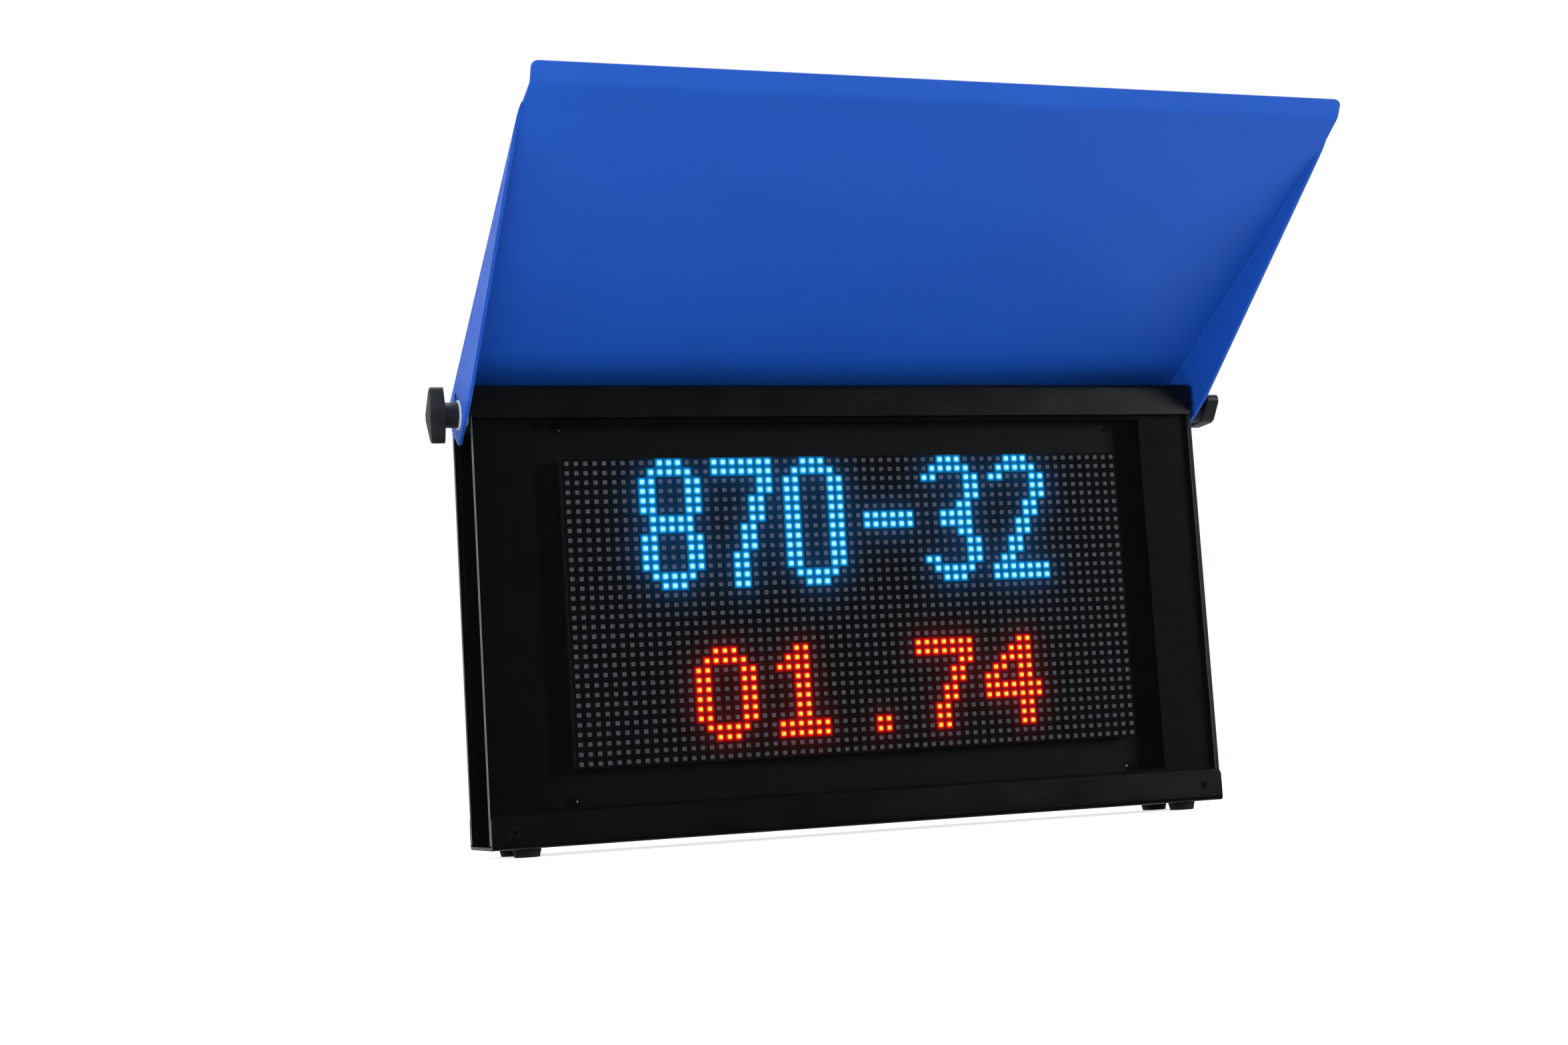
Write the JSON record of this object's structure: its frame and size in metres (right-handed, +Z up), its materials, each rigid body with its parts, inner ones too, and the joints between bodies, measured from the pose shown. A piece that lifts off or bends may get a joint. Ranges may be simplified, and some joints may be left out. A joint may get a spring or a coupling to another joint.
{
  "type": "portable led display board",
  "caption": "Portable LED matrix board in a folded-sheet housing with a hinged sun visor that folds down over the display, clamped by two side knobs.",
  "frame": {"origin": "midway between the two pole sockets, on the underside of the base channel", "axes": "+X to the right as seen from the front, the display faces -Y, +Z up"},
  "size_m": [0.5462, 0.2718, 0.426],
  "materials": {
    "housing_black": "satin",
    "sheet_black": "matte",
    "clear_pane": "gloss",
    "visor_blue": "satin",
    "dark_screw": "gloss",
    "bright_steel": "satin",
    "spacer_brass": "satin",
    "module_black": "matte",
    "circuit_board": "satin",
    "chip_black": "matte",
    "nylon_white": "satin",
    "ribbon_grey": "satin",
    "bare_aluminium": "satin",
    "battery_wrap": "gloss",
    "lead_red": "satin",
    "lead_black": "satin",
    "foot_rubber": "matte",
    "block_black": "satin",
    "knob_black": "satin"
  },
  "bodies": {
    "housing": {"base_channel": "housing_black", "top_channel": "housing_black", "side_profile_left": "housing_black", "side_profile_right": "housing_black", "front_pane": "clear_pane", "window_plate": "sheet_black", "rear_panel": "housing_black", "front_corner_screws": "dark_screw", "rear_corner_screws": "dark_screw", "chassis_plate": "sheet_black", "chassis_spacers": "spacer_brass", "chassis_screws": "dark_screw", "rear_panel_screws": "dark_screw", "module_mask": "module_black", "module_board": "circuit_board", "module_frame": "module_black", "module_connectors": "module_black", "module_screws": "bright_steel", "controller_board": "circuit_board", "controller_chips": "chip_black", "controller_spacers": "nylon_white", "ribbon_cable": "ribbon_grey", "power_converter": "bare_aluminium", "battery_pack": "battery_wrap", "battery_bracket": "bright_steel", "battery_screws": "dark_screw", "battery_lead": "lead_red", "display_lead": "lead_black", "module_lead": "lead_red", "charge_lead": "lead_black", "switch_lead": "lead_black", "pole_insert_left": "bright_steel", "pole_insert_right": "bright_steel", "rubber_feet": "foot_rubber", "foot_screws": "bright_steel", "foot_nuts": "bright_steel", "button_housing": "bright_steel", "button_nut": "bright_steel", "charge_socket": "module_black", "socket_nut": "bright_steel", "pivot_block_left": "block_black", "pivot_block_right": "block_black", "pivot_block_screws": "dark_screw", "pivot_spacers": "nylon_white"},
    "visor": {"visor_cover": "visor_blue"},
    "knob_left": {"knob_left": "knob_black", "knob_stud_left": "bright_steel", "knob_washer_left": "nylon_white"},
    "knob_right": {"knob_right": "knob_black", "knob_stud_right": "bright_steel", "knob_washer_right": "nylon_white"},
    "button": {"button_cap": "bright_steel"}
  },
  "joints": [
    {"name": "visor_hinge", "type": "hinge", "parent": "housing", "child": "visor", "pos_m": [0, -0.0165, 0.2668], "axis": [1, 0, 0], "range_deg": [0, 118]},
    {"name": "knob_left_turn", "type": "hinge", "parent": "housing", "child": "knob_left", "pos_m": [-0.262, -0.0165, 0.2668], "axis": [-1, 0, 0], "range_deg": [0, 720]},
    {"name": "knob_right_turn", "type": "hinge", "parent": "housing", "child": "knob_right", "pos_m": [0.262, -0.0165, 0.2668], "axis": [1, 0, 0], "range_deg": [0, 720]},
    {"name": "power_button_press", "type": "slide", "parent": "housing", "child": "button", "axis": [0, -1, 0], "range_m": [0, 0.0015], "stiffness_N_per_m": 1500}
  ]
}
